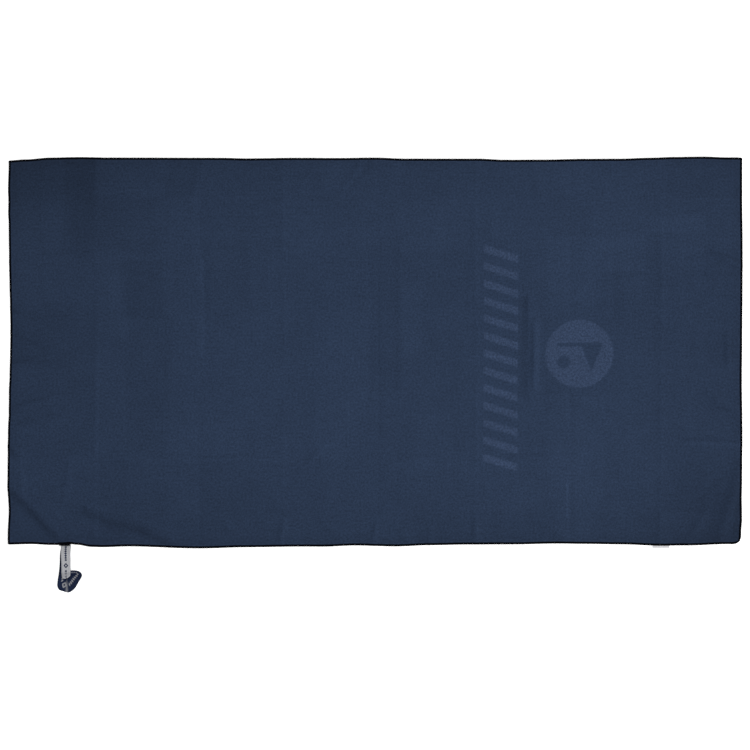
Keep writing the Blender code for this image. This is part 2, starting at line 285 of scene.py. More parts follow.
# Painted shade and painted highlights along the wrinkles: start, end, change of tone, half width in
# millimetres
PAINTED_WRINKLE_SHADING = (
    ((-0.543, -0.177), (-0.482, -0.236), -0.14, 8), ((-0.524, -0.160), (-0.468, -0.214), 0.04, 3),
    ((-0.430, -0.207), (-0.345, -0.232), -0.13, 7), ((-0.345, -0.232), (-0.308, -0.248), -0.12, 6),
    ((-0.428, -0.194), (-0.345, -0.214), 0.05, 4), ((-0.390, -0.203), (-0.318, -0.232), -0.06, 3),
    ((-0.548, 0.099), (-0.525, 0.096), -0.10, 3), ((-0.548, 0.066), (-0.500, 0.040), -0.08, 2.5),
    ((-0.543, 0.021), (-0.495, 0.021), -0.14, 3), ((-0.548, -0.050), (-0.500, -0.036), -0.08, 2.5),
    ((-0.548, -0.107), (-0.530, -0.122), -0.11, 3), ((-0.530, -0.052), (-0.470, -0.062), -0.05, 2),
    ((0.505, 0.186), (0.548, 0.168), -0.10, 2.5), ((0.534, 0.052), (0.534, 0.028), -0.14, 3),
    ((0.468, -0.101), (0.548, -0.107), 0.09, 2), ((0.465, -0.096), (0.545, -0.101), -0.06, 2),
    ((0.525, -0.150), (0.490, -0.185), -0.06, 3), ((0.483, -0.039), (0.540, -0.057), -0.06, 2),
    ((-0.008, 0.316), (-0.038, 0.276), -0.07, 4), ((-0.420, 0.272), (-0.370, 0.276), 0.06, 2),
    ((-0.300, 0.268), (-0.190, 0.266), 0.05, 2), ((0.100, -0.119), (0.200, -0.118), 0.05, 2),
    ((-0.380, -0.123), (-0.300, -0.123), 0.05, 2), ((0.230, -0.112), (0.330, -0.118), 0.05, 2),
)
# Where the packing creases part the patchwork
NAP_COLUMNS = (
    -0.420, -0.372, -0.312, -0.262, -0.202, -0.142, -0.076, -0.020, 0.038, 0.138, 0.255, 0.326, 0.428,
)
NAP_ROWS = (-0.205, -0.124, -0.070, 0.033, 0.100, 0.186, 0.268)


def nap_grid(x, y):
    """The faint patchwork between the packing creases, from -1 to 1."""
    turn = np.random.default_rng(17)
    tones = turn.uniform(-1, 1, (len(NAP_ROWS) + 1, len(NAP_COLUMNS) + 1))
    total = np.full_like(x, 0.0)
    wander_x = x + 2.5 * MM * ripple(y, y * 0, 0.12, 21)
    wander_y = y + 3.5 * MM * ripple(x, x * 0, 0.14, 22)
    in_column = [smoothstep((wander_x - place) / (3 * MM) + 0.5) for place in NAP_COLUMNS]
    in_row = [smoothstep((wander_y - place) / (6 * MM) + 0.5) for place in NAP_ROWS]
    column = [1 - in_column[0]] + [a - b for a, b in zip(in_column, in_column[1:])] + [in_column[-1]]
    row = [1 - in_row[0]] + [a - b for a, b in zip(in_row, in_row[1:])] + [in_row[-1]]
    for j, row_share in enumerate(row):
        for i, column_share in enumerate(column):
            total = total + tones[j, i] * row_share * column_share
    return total


def nap(x, y):
    """How light the cloth's top is drawn: 1 in the middle of the towel, darker towards its ends, hems and
    edges, with painted shade and highlights along wrinkles and creases.
    """
    tone = 1.03 + 0.032 * nap_grid(x, y)
    # Darker towards both ends, along the top hem (more on the left) and the bottom hem, at the top-left and
    # bottom-right corners and near every edge
    tone = tone - 0.09 * smoothstep((-x - 0.10) / 0.40) - 0.12 * smoothstep((x - 0.32) / 0.22)
    left_share = 1 - 0.6 * smoothstep((x + 0.25) / 0.50)
    tone = tone - 0.13 * smoothstep((y - 0.20) / 0.125) * left_share
    tone = tone - 0.09 * smoothstep((-0.13 - y) / 0.125)
    for corner_x, corner_y, reach, change in ((-END, TOP, 0.24, 0.11), (END, BOTTOM, 0.20, 0.19)):
        away = np.hypot(x - corner_x, (y - corner_y) * 1.2)
        tone = tone - change * smoothstep(1 - away / reach)
    edge = np.minimum(np.minimum(x + END, END - x), np.minimum(y - BOTTOM, TOP - y))
    tone = tone - 0.07 * (1 - smoothstep((edge - 6 * MM) / (16 * MM)))
    wander_x = x + 1.5 * MM * ripple(y, y * 0, 0.06, 31)
    wander_y = y + 1.5 * MM * ripple(x, x * 0, 0.06, 32)
    # Tone patches, with painted shade and painted highlights in thin strips along creases
    for left, right, bottom, top, change, soft in TONE_PATCHES_AND_PAINTED_CREASE_SHADING:
        near_x = np.minimum(wander_x - left, right - wander_x)
        near_y = np.minimum(wander_y - bottom, top - wander_y)
        near = np.minimum(near_x, near_y)
        tone = tone + change * smoothstep(near / (soft * MM) + 0.5)
    # Painted shade and painted highlights along the wrinkles
    for start, end, change, wide in PAINTED_WRINKLE_SHADING:
        across, past, _ = beside_line(wander_x, wander_y, start, end)
        tone = tone + change * np.exp(-((across / (wide * MM)) ** 2) - (past / (3 * wide * MM)) ** 2)
    return tone


# ---------------------------------------------------------------- the raised motif

BARS_X, BARS_TOP, BARS_BOTTOM = 0.1875, 0.196, -0.144
BAR_HALF_WIDTH, BAR_PITCH, BAR_SHARE, BAR_SLANT = 0.0255, 0.0262, 0.42, 0.30
BADGE_X, BADGE_Y, BADGE_RADIUS = 0.305, 0.032, 0.051


def bars_mask(x, y):
    """A plain column of slanting bars."""
    across = np.abs(x - BARS_X)
    step = (y - BARS_BOTTOM + (x - BARS_X) * BAR_SLANT) / BAR_PITCH
    inside = np.abs(step - np.floor(step) - 0.5) - BAR_SHARE / 2
    edge = np.maximum(across - BAR_HALF_WIDTH, inside * BAR_PITCH)
    ends = np.maximum(y - BARS_TOP, BARS_BOTTOM - y)
    return np.maximum(edge, ends)


def badge_mask(x, y):
    """A plain round badge with a golf flag and a ball left out of it, turned a quarter as the bars are."""
    u, v = -(y - BADGE_Y) / BADGE_RADIUS, (x - BADGE_X) / BADGE_RADIUS
    disc = np.hypot(u, v) - 1
    pole = np.maximum(np.abs(u + 0.28) - 0.055, np.abs(v) - 0.66)
    pennant = np.maximum(np.maximum(-0.24 - u, u - 0.52), np.abs(v - 0.36) - 0.40 * (0.52 - u))
    ball = np.hypot(u - 0.24, v + 0.45) - 0.19
    left_out = np.minimum(np.minimum(pole, pennant), ball)
    return np.maximum(disc, -left_out) * BADGE_RADIUS


def motif(x, y):
    """1 on the motif and 0 off it, with an edge a millimetre soft."""
    distance = np.minimum(bars_mask(x, y), badge_mask(x, y))
    return 1 - smoothstep((distance + 0.7 * MM) / (1.4 * MM))


MOTIF_RISE = 0.25 * MM

# ---------------------------------------------------------------- mesh helpers


def new_object(name, verts, faces, smooth_angle=None):
    mesh = bpy.data.meshes.new(name)
    mesh.from_pydata([tuple(v) for v in verts], [], [tuple(f) for f in faces])
    mesh.update()
    piece = bpy.data.objects.new(name, mesh)
    bpy.context.scene.collection.objects.link(piece)
    mesh.shade_smooth()
    if smooth_angle is not None:
        mesh.set_sharp_from_angle(angle=math.radians(smooth_angle))
    return piece


def grid_faces(rows, columns, start=0, flip=False):
    """Quads over a grid whose points are numbered row by row."""
    i = np.arange(rows - 1)[:, None] * columns + np.arange(columns - 1)[None, :] + start
    quads = np.stack([i, i + 1, i + 1 + columns, i + columns], axis=-1).reshape(-1, 4)
    return quads[:, ::-1] if flip else quads


def border(rows, columns):
    """The grid's outline, counterclockwise."""
    grid = np.arange(rows * columns).reshape(rows, columns)
    return np.concatenate([grid[0], grid[1:, -1], grid[-1, -2::-1], grid[-2:0:-1, 0]])


def set_uv(piece, uv):
    """One UV per vertex, in metres on the flat cloth."""
    layer = piece.data.uv_layers.new(name="flat")
    corner = np.zeros(len(piece.data.loops), np.int32)
    piece.data.loops.foreach_get("vertex_index", corner)
    layer.data.foreach_set("uv", uv[corner].astype(np.float32).reshape(-1))


def set_value(piece, name, values):
    attribute = piece.data.attributes.new(name, "FLOAT", "POINT")
    attribute.data.foreach_set("value", values.astype(np.float32))


def spaced(low, high, coarse, fine_spans):
    """Places from low to high, coarse apart, and closer in each (start, stop, step) span."""
    places, at = [low], low
    while at < high - 1e-9:
        step = coarse
        for start, stop, fine in fine_spans:
            if start - coarse < at < stop:
                step = min(step, fine if at > start - fine else max(fine, start - at))
        at = min(at + step, high)
        places.append(at)
    return np.array(places)


# ---------------------------------------------------------------- node material helpers


class Surface:
    """A node material with short calls to add and join nodes."""

    def __init__(self, name):
        self.made = bpy.data.materials.new(name)
        self.made.use_nodes = True
        self.tree = self.made.node_tree
        self.shader = self.tree.nodes["Principled BSDF"]

    def node(self, kind, settings=None, **inputs):
        made = self.tree.nodes.new(kind)
        for key, value in (settings or {}).items():
            setattr(made, key, value)
        for key, value in inputs.items():
            self.feed(made.inputs[key.replace("_", " ")], value)
        return made

    def feed(self, socket, value):
        if isinstance(value, bpy.types.NodeSocket):
            self.tree.links.new(value, socket)
        else:
            socket.default_value = value

    def maths(self, operation, *values, clamp=False):
        made = self.tree.nodes.new("ShaderNodeMath")
        made.operation, made.use_clamp = operation, clamp
        for socket, value in zip(made.inputs, values):
            self.feed(socket, value)
        return made.outputs[0]

    def mix(self, share, a, b):
        made = self.tree.nodes.new("ShaderNodeMix")
        made.data_type = "RGBA"
        self.feed(made.inputs["Factor"], share)
        self.feed(made.inputs["A"], a if isinstance(a, bpy.types.NodeSocket) else (*a, 1))
        self.feed(made.inputs["B"], b if isinstance(b, bpy.types.NodeSocket) else (*b, 1))
        return made.outputs["Result"]

    def flat_place(self, scale=(1, 1, 1)):
        """The flat cloth's coordinates in metres, scaled."""
        uv = self.node("ShaderNodeUVMap", {"uv_map": "flat"})
        return self.node("ShaderNodeMapping", Vector=uv.outputs[0], Scale=scale).outputs[0]

    def noise(self, size, detail=2.0, stretch=(1, 1, 1), roughness=0.5):
        """Noise about size metres across."""
        place = self.flat_place(tuple(s / size for s in stretch))
        made = self.node("ShaderNodeTexNoise", Vector=place, Scale=1.0, Detail=detail, Roughness=roughness)
        return made.outputs["Fac"]

    def spread(self, value, low, high):
        """value from low..high to 0..1"""
        made = self.node("ShaderNodeMapRange", Value=value)
        made.inputs["From Min"].default_value = low
        made.inputs["From Max"].default_value = high
        return made.outputs[0]

    def bump(self, height, distance, strength=1.0, normal=None):
        made = self.node("ShaderNodeBump", Height=height, Distance=distance, Strength=strength)
        if normal is not None:
            self.tree.links.new(normal, made.inputs["Normal"])
        return made.outputs[0]

    def finish(self, colour, roughness, normal, sheen=0.0, sheen_tint=(1, 1, 1), specular=0.5):
        self.feed(self.shader.inputs["Base Color"], colour)
        self.feed(self.shader.inputs["Roughness"], roughness)
        self.tree.links.new(normal, self.shader.inputs["Normal"])
        self.shader.inputs["Sheen Weight"].default_value = sheen
        self.shader.inputs["Sheen Roughness"].default_value = 0.5
        self.shader.inputs["Sheen Tint"].default_value = (*sheen_tint, 1)
        self.shader.inputs["Specular IOR Level"].default_value = specular
        return self.made


NAVY = (0.0148, 0.0251, 0.0494)
NAVY_MOTIF = (0.0236, 0.0374, 0.0722)
NAP_SHEEN = (0.35, 0.45, 0.75)
THREAD_DARK = (0.0004, 0.0005, 0.0010)
THREAD_LIGHT = (0.0014, 0.0017, 0.0030)


def suede_material():
    """Navy suede microfibre: short nap with speckle and cloudy patches, scaled by a tone attribute that holds
    painted shade and painted highlights along wrinkles and creases.
    """
    s = Surface("suede_microfibre")
    speckle = s.noise(0.0030, 3.0, roughness=0.7)
    fibre = s.noise(0.0006, 2.0)
    cloud = s.noise(0.055, 3.0)
    patch = s.noise(0.016, 3.0, roughness=0.6)
    weft = s.noise(0.005, 2.0, stretch=(0.12, 1, 1))
    fleck = s.spread(s.noise(0.0042, 2.0, roughness=0.6), 0.56, 0.70)
    fleck = s.maths("MULTIPLY", fleck, s.spread(cloud, 0.45, 0.62))
    tone = s.maths("MULTIPLY_ADD", s.spread(speckle, 0.3, 0.7), 0.58, 0.605)
    tone = s.maths("MULTIPLY_ADD", s.spread(cloud, 0.3, 0.7), 0.05, tone)
    tone = s.maths("MULTIPLY_ADD", s.spread(patch, 0.3, 0.7), 0.07, tone)
    tone = s.maths("MULTIPLY_ADD", s.spread(weft, 0.3, 0.7), 0.06, tone)
    tone = s.maths("MULTIPLY_ADD", fleck, 0.12, tone)
    # The cloth's tone, holding painted shade and painted highlights along wrinkles and creases
    tone_and_painted_shade = s.node("ShaderNodeAttribute", {"attribute_name": "nap"}).outputs["Fac"]
    raised = s.node("ShaderNodeAttribute", {"attribute_name": "motif"}).outputs["Fac"]
    grain = s.maths("MULTIPLY", raised, s.maths("MULTIPLY_ADD", s.spread(speckle, 0.4, 0.62), 0.4, 0.6))
    rim = s.node("ShaderNodeAttribute", {"attribute_name": "rim"}).outputs["Fac"]
    base = s.mix(s.maths("MAXIMUM", grain, s.maths("MULTIPLY", rim, 0.35)), NAVY, NAVY_MOTIF)
    light = s.maths("MULTIPLY", tone, tone_and_painted_shade)
    shaded = s.node("ShaderNodeVectorMath", {"operation": "SCALE"}, Vector=base, Scale=light)
    normal = s.bump(speckle, 0.00045, 0.5)
    normal = s.bump(fibre, 0.00012, 0.6, normal)
    rough = s.maths("MULTIPLY_ADD", patch, 0.12, 0.84)
    return s.finish(shaded.outputs[0], rough, normal, sheen=0.04, sheen_tint=NAP_SHEEN, specular=0.05)


def thread_material():
    """Near-black textured polyester thread with a twist."""
    s = Surface("overlock_polyester")
    twist = {"bands_direction": "DIAGONAL"}
    ply = s.node("ShaderNodeTexWave", twist, Vector=s.flat_place(), Scale=1400.0, Distortion=1.5)
    fluff = s.noise(0.0009, 3.0)
    share = s.maths("MULTIPLY", s.spread(fluff, 0.3, 0.7), ply.outputs["Fac"])
    colour = s.mix(share, THREAD_DARK, THREAD_LIGHT)
    normal = s.bump(ply.outputs["Fac"], 0.00010, 0.6)
    normal = s.bump(fluff, 0.00012, 0.5, normal)
    rough = s.maths("MULTIPLY_ADD", fluff, 0.15, 0.72)
    return s.finish(colour, rough, normal, specular=0.02)


TAPE_GREY = (0.318, 0.322, 0.338)
TAPE_SHADE = (0.170, 0.173, 0.188)
TAPE_NAVY = (0.0060, 0.0120, 0.0340)
TAPE_NAVY_SHADE = (0.0016, 0.0030, 0.0080)
TAPE_PITCH = 3.3 * MM


def lozenges(s, split, across_half, along_half, pitch):
    """How deep inside a row of lozenges a place lies: above 0 inside them."""
    across = s.maths("DIVIDE", s.maths("ABSOLUTE", split.outputs[0]), across_half)
    step = s.maths("FRACT", s.maths("DIVIDE", split.outputs[1], pitch))
    along = s.maths("ABSOLUTE", s.maths("SUBTRACT", step, 0.5))
    along = s.maths("DIVIDE", s.maths("MULTIPLY", along, pitch), along_half)
    return s.maths("SUBTRACT", 1.0, s.maths("ADD", across, along))


def tape_material(name, ground, shade, mark, across_half, along_half):
    """Woven jacquard tape: cross ribs, warp lines, small lozenges and now and then a large hollow one."""
    s = Surface(name)
    uv = s.node("ShaderNodeUVMap", {"uv_map": "flat"})
    split = s.node("ShaderNodeSeparateXYZ", Vector=uv.outputs[0])
    small = s.maths("GREATER_THAN", lozenges(s, split, across_half, along_half, TAPE_PITCH), 0.0)
    large = lozenges(s, split, 4.0 * MM, 4.0 * MM, TAPE_PITCH * 20)
    hollow = s.maths("COMPARE", large, 0.30, 0.30)
    room = s.maths("LESS_THAN", large, -0.75)
    marks = s.maths("MAXIMUM", s.maths("MULTIPLY", small, room), hollow)
    rib = s.maths("SINE", s.maths("MULTIPLY", split.outputs[1], math.tau / 0.0009))
    warp = s.maths("SINE", s.maths("MULTIPLY", split.outputs[0], math.tau / 0.0007))
    weave = s.maths("MULTIPLY_ADD", s.maths("MULTIPLY", rib, warp), 0.5, 0.5)
    fluff = s.noise(0.0012, 3.0)
    edge = s.maths("GREATER_THAN", s.maths("ABSOLUTE", split.outputs[0]), 6.5 * MM)
    lines = s.maths("SINE", s.maths("MULTIPLY", split.outputs[0], math.tau / 0.0034))
    lines = s.maths("MULTIPLY", lines, 0.16)
    tone = s.maths("MULTIPLY_ADD", s.spread(fluff, 0.3, 0.75), 0.45, lines, clamp=True)
    cloth = s.mix(s.maths("MAXIMUM", tone, s.maths("MULTIPLY", edge, 0.55)), ground, shade)
    colour = s.mix(marks, cloth, mark)
    worn = s.node("ShaderNodeAttribute", {"attribute_name": "worn"}).outputs["Fac"]
    # Painted shade where the upper strand curls under, and mid grey across the creased tip
    colour = s.mix(s.maths("MULTIPLY", worn, 0.75), colour, TAPE_SHADE)
    normal = s.bump(weave, 0.00020, 0.7)
    normal = s.bump(fluff, 0.00010, 0.5, normal)
    rough = s.maths("MULTIPLY_ADD", fluff, 0.15, 0.75)
    return s.finish(colour, rough, normal, sheen=0.02, specular=0.08)


def shaded_label_material():
    """A white satin ribbon with a fine cross weave, painted pale grey for the shade it lies in at the hem."""
    s = Surface("label_satin")
    uv = s.node("ShaderNodeUVMap", {"uv_map": "flat"})
    split = s.node("ShaderNodeSeparateXYZ", Vector=uv.outputs[0])
    rib = s.maths("SINE", s.maths("MULTIPLY", split.outputs[1], math.tau / 0.0006))
    slub = s.noise(0.0030, 2.0, stretch=(0.2, 1, 1))
    # Painted shade: the white ribbon is drawn in pale greys
    colour = s.mix(s.spread(slub, 0.3, 0.7), (0.40, 0.40, 0.41), (0.50, 0.50, 0.51))
    normal = s.bump(s.maths("MULTIPLY_ADD", rib, 0.5, 0.5), 0.00006, 0.6)
    rough = s.maths("MULTIPLY_ADD", slub, 0.15, 0.45)
    return s.finish(colour, rough, normal, sheen=0.05, specular=0.3)


# ---------------------------------------------------------------- cloth sheets

CLOTH_STEP = 3.2 * MM
FOLD_STEP = 1.1 * MM
FOLD_REACH = 12 * MM
MOTIF_STEP = 1.9 * MM
HEM_STEP = 1.2 * MM
HEM_INSET = 0.5 * MM
RIM_FROM, RIM_TO = 2.6 * MM, 5.2 * MM


def sheet_columns(low, high, fold_x):
    spans = [(fold_x - FOLD_REACH, fold_x + FOLD_REACH, FOLD_STEP)]
    if high > BARS_X > low:
        spans.append((BARS_X - 0.028, BADGE_X + BADGE_RADIUS + 0.002, MOTIF_STEP))
    if low == -END:
        spans.append((low, low + 0.010, HEM_STEP))
    if high == END:
        spans.append((high - 0.010, high, HEM_STEP))
    for place, _, wide in UPRIGHT_CREASES:
        spans.append((place - 1.5 * wide * MM, place + 1.5 * wide * MM, 2.0 * MM))
    return spaced(low, high, CLOTH_STEP, spans)


def sheet_rows(has_motif):
    low, high = BOTTOM + HEM_INSET, TOP - HEM_INSET
    spans = [(low, low + 0.008, HEM_STEP), (high - 0.008, high, HEM_STEP)]
    if has_motif:
        spans.append((BARS_BOTTOM - 0.004, BARS_TOP + 0.004, MOTIF_STEP))
    return spaced(low, high, CLOTH_STEP, spans)


def make_sheet(name, low, high, fold_x, material):
    """A closed thin sheet: a top face, an underside and the cut edge."""
    left = low + (HEM_INSET if low == -END else 0.0)
    right = high - (HEM_INSET if high == END else 0.0)
    columns = np.clip(sheet_columns(low, high, fold_x), left, right)
    columns = np.unique(np.round(columns, 7))
    rows = sheet_rows(low < BARS_X < high)
    x, y = (a.reshape(-1) for a in np.meshgrid(columns, rows))
    raised = motif(x, y)
    top = cloth_point(x, y, CLOTH_THICKNESS / 2) + np.outer(raised * MOTIF_RISE, (0, 0, 1))
    under = cloth_point(x, y, -CLOTH_THICKNESS / 2)
    count = len(x)
    faces = list(grid_faces(len(rows), len(columns)))
    faces += list(grid_faces(len(rows), len(columns), count, flip=True))
    ring = border(len(rows), len(columns))
    after = np.roll(ring, -1)
    faces += list(np.stack([ring, ring + count, after + count, after], axis=1))
    piece = new_object(name, np.concatenate([top, under]), faces, 50)
    uv = np.stack([x, y], axis=1)
    set_uv(piece, np.concatenate([uv, uv]))
    inside = np.minimum(np.minimum(x + END, END - x), np.minimum(y - BOTTOM, TOP - y))
    rim = smoothstep((inside - RIM_FROM) / MM) * (1 - smoothstep((inside - RIM_TO + MM) / MM))
    # The top carries the tone with painted shade and highlights; the underside only the patchwork
    set_value(piece, "nap", np.concatenate([nap(x, y), 0.98 + 0.03 * nap_grid(x, y)]))
    set_value(piece, "motif", np.concatenate([raised, raised * 0]))
    set_value(piece, "rim", np.concatenate([rim, rim * 0]))
    piece.data.materials.append(material)
    return piece


# ---------------------------------------------------------------- overlock threads

STITCH = 1.9 * MM
NEEDLE_DEPTH = 2.75 * MM

# One stitch of each thread: share of the stitch, depth in from the hem in millimetres, height over the
# middle of the cloth in millimetres, and how far the thread's face turns out over the edge (0 up, 1 out)
UPPER_LOOPER = (
    (0.00, 2.90, 0.62, 0.0), (0.12, 2.30, 0.85, 0.0), (0.26, 1.20, 0.90, 0.0), (0.40, 0.25, 0.72, 0.4),
    (0.50, -0.10, 0.10, 1.0), (0.60, 0.25, 0.72, 0.4), (0.74, 1.20, 0.90, 0.0), (0.88, 2.30, 0.85, 0.0),
)
LOWER_LOOPER = (
    (0.00, 2.75, -0.66, 0.0), (0.20, 1.40, -0.72, 0.0), (0.38, 0.35, -0.68, -0.4), (0.50, 0.00, -0.20, -1.0),
    (0.62, 0.35, -0.68, -0.4), (0.80, 1.40, -0.72, 0.0),
)
NEEDLE = ((0.00, 2.85, 0.52, 0.0), (0.25, 2.85, 0.72, 0.0), (0.55, 2.85, 0.78, 0.0), (0.85, 2.85, 0.66, 0.0))
THREADS = (
    ("upper_looper_thread", UPPER_LOOPER, 0.66 * MM, 0.20 * MM),
    ("lower_looper_thread", LOWER_LOOPER, 0.34 * MM, 0.10 * MM),
    ("needle_thread", NEEDLE, 0.24 * MM, 0.18 * MM),
)


def hem_runs(low, high):
    """The zone's straight hems, as (from, to, inward) on the flat cloth."""
    runs = [((low, TOP), (high, TOP), (0, -1)), ((high, BOTTOM), (low, BOTTOM), (0, 1))]
    if low == -END:
        runs.append(((-END, BOTTOM + NEEDLE_DEPTH), (-END, TOP - NEEDLE_DEPTH), (1, 0)))
    if high == END:
        runs.append(((END, TOP - NEEDLE_DEPTH), (END, BOTTOM + NEEDLE_DEPTH), (-1, 0)))
    return runs


def stitch_path(run, pattern):
    """The thread's points along one hem, the way its face points, and its flat coordinates."""
    (x0, y0), (x1, y1), inward = run
    long = math.hypot(x1 - x0, y1 - y0)
    count = round(long / STITCH)
    share, depth, height, turn = (np.array(column) for column in zip(*pattern))
    along = ((np.arange(count)[:, None] + share[None, :]) / count).reshape(-1)
    depth = np.tile(depth * MM, count)
    x = x0 + (x1 - x0) * along + inward[0] * depth
    y = y0 + (y1 - y0) * along + inward[1] * depth
    points = cloth_point(x, y) + np.outer(np.tile(height * MM, count), (0, 0, 1))
    turn = np.tile(turn, count)[:, None]
    face = np.array((-inward[0], -inward[1], 0.0))[None, :] * np.abs(turn)
    face = face + np.array((0.0, 0.0, 1.0))[None, :] * (1 - np.abs(turn)) * np.where(turn < 0, -1, 1)
    return points, face / np.linalg.norm(face, axis=1, keepdims=True), np.stack([x, y], axis=1)


def ribbon_tube(points, face, half_width, half_height, sides=6):
    """A closed flattened tube along the points, its broad side facing the given way."""
    ahead = np.gradient(points, axis=0)
    ahead /= np.linalg.norm(ahead, axis=1, keepdims=True)
    side = np.cross(ahead, face)
    side /= np.maximum(np.linalg.norm(side, axis=1, keepdims=True), 1e-9)
    over = np.cross(side, ahead)
    angle = np.arange(sides) * math.tau / sides
    ring = side[:, None, :] * (np.cos(angle) * half_width)[None, :, None]
    ring = ring + over[:, None, :] * (np.sin(angle) * half_height)[None, :, None]
    verts = (points[:, None, :] + ring).reshape(-1, 3)
    i = np.arange(len(points) - 1)[:, None] * sides
    k = np.arange(sides)[None, :]
    n = (k + 1) % sides
    quads = np.stack([i + k, i + n, i + n + sides, i + k + sides], axis=-1).reshape(-1, 4)
    last = (len(points) - 1) * sides
    caps = [tuple(range(sides))[::-1], tuple(last + j for j in range(sides))]
    return verts, quads[:, ::-1], [c[::-1] for c in caps]


def make_thread(name, runs, pattern, half_width, half_height, material):
    verts, faces, uvs, start = [], [], [], 0
    for run in runs:
        points, face, flat = stitch_path(run, pattern)
        tube, quads, caps = ribbon_tube(points, face, half_width, half_height)
        verts.append(tube)
        faces += list(quads + start) + [tuple(i + start for i in cap) for cap in caps]
        uvs.append(np.repeat(flat, 6, axis=0))
        start += len(tube)
    piece = new_object(name, np.concatenate(verts), faces)
    set_uv(piece, np.concatenate(uvs))
    piece.data.materials.append(material)
    return piece


# ---------------------------------------------------------------- hanging loop

# The tape's route, the same as the CAD loop's, in millimetres: right of the root, out from the hem, up, then
# the way across the tape. The first and last stations lie under the hem's stitching.
LOOP_ROUTE = (
    # upper strand
    (0.0, -1.6, 1.25, 15.0, 0.0, 0.0),
    (0.0, 3.8, 1.45, 15.0, 0.0, 0.0),
    (0.0, 8.5, 3.3, 15.0, 0.0, 0.0),
    (0.4, 14.0, 5.45, 14.4, 0.0, 0.0),
    (0.8, 26.0, 5.45, 13.8, 0.0, 0.0),
    (0.9, 35.5, 5.45, 13.6, 0.0, 0.0),
    (0.9, 41.0, 5.40, 13.6, -1.0, 0.0),
    # it rolls under itself
    (1.0, 45.2, 4.95, 12.8, -2.6, 0.0),
    (1.2, 47.2, 4.00, 12.0, -3.8, -0.2),
    (2.0, 45.6, 3.05, 9.8, -3.4, -0.4),
    # leaning over, it leaves for the far corner of the tip
    (4.4, 43.2, 3.0, 8.0, 1.3, -1.4),
    (8.0, 41.2, 2.9, 3.1, 5.2, -2.8),
    (11.1, 40.7, 2.9, -0.7, 5.9, -3.8),
    (14.3, 40.8, 3.0, -5.8, 5.3, -4.2),
    (16.9, 41.7, 3.2, -10.8, 2.9, -4.4),
    (18.1, 43.7, 3.3, -13.7, -1.1, -4.4),
    # it turns back with its inner face up
    (16.6, 46.1, 3.3, -14.5, -5.4, -4.2),
    (12.8, 50.0, 3.3, -14.4, -10.0, -4.2),
    (8.9, 55.4, 3.3, -13.0, -15.4, -4.2),
    (6.1, 58.6, 3.4, -8.0, -19.6, -4.2),
    # the creased tip
    (3.0, 60.4, 3.6, -2.4, -21.2, -3.8),
    (-1.0, 60.0, 3.3, 4.8, -18.2, -4.2),
    (-4.4, 58.6, 3.1, 10.2, -16.2, -4.0),
    (-5.4, 56.0, 2.8, 13.8, -9.6, -3.6),
    (-4.9, 51.2, 2.2, 14.2, -5.0, -2.8),
    (-4.1, 45.0, 1.5, 13.9, -2.0, -1.6),
    # lower strand
    (-2.9, 37.5, 0.85, 14.4, 0.0, -0.6),
    (-2.1, 27.0, 0.38, 14.8, 0.0, 0.0),
    (-1.5, 14.0, 0.35, 15.0, 0.0, 0.0),
    (0.0, 3.8, 0.35, 15.0, 0.0, 0.0),
    (0.0, -1.6, 0.40, 15.0, 0.0, 0.0),
)
ROUTE_STEPS = 7
# The loop hangs from the hem's stitches, which here lie a little below the hem's straight line
LOOP_DROP = 1.7 * MM
TAPE_WIDTH = 15 * MM
TAPE_COLUMNS = 13
TAPE_HALF = 0.34 * MM
# How far the rolled-under end of the upper strand bows out in its middle
ROLL_BOW = 2.4 * MM


def smooth_route():
    """The route in world metres, with even points on a smooth curve through the stations."""
    rows = np.array(LOOP_ROUTE)
    last = len(rows) - 1
    found = []
    for i in range(last):
        a, b, c, d = (rows[min(max(j, 0), last)] for j in (i - 1, i, i + 1, i + 2))
        for k in range(ROUTE_STEPS):
            t = k / ROUTE_STEPS
            point = 2 * b + (c - a) * t + (2 * a - 5 * b + 4 * c - d) * t**2 + (3 * b - a - 3 * c + d) * t**3
            found.append(point / 2)
    found = np.array(found + [rows[last]]) * MM
    world = found * np.array((1, -1, 1, 1, -1, 1))
    return world[:, :3] + np.array((LOOP_X, BOTTOM - LOOP_DROP, 0.0)), world[:, 3:]


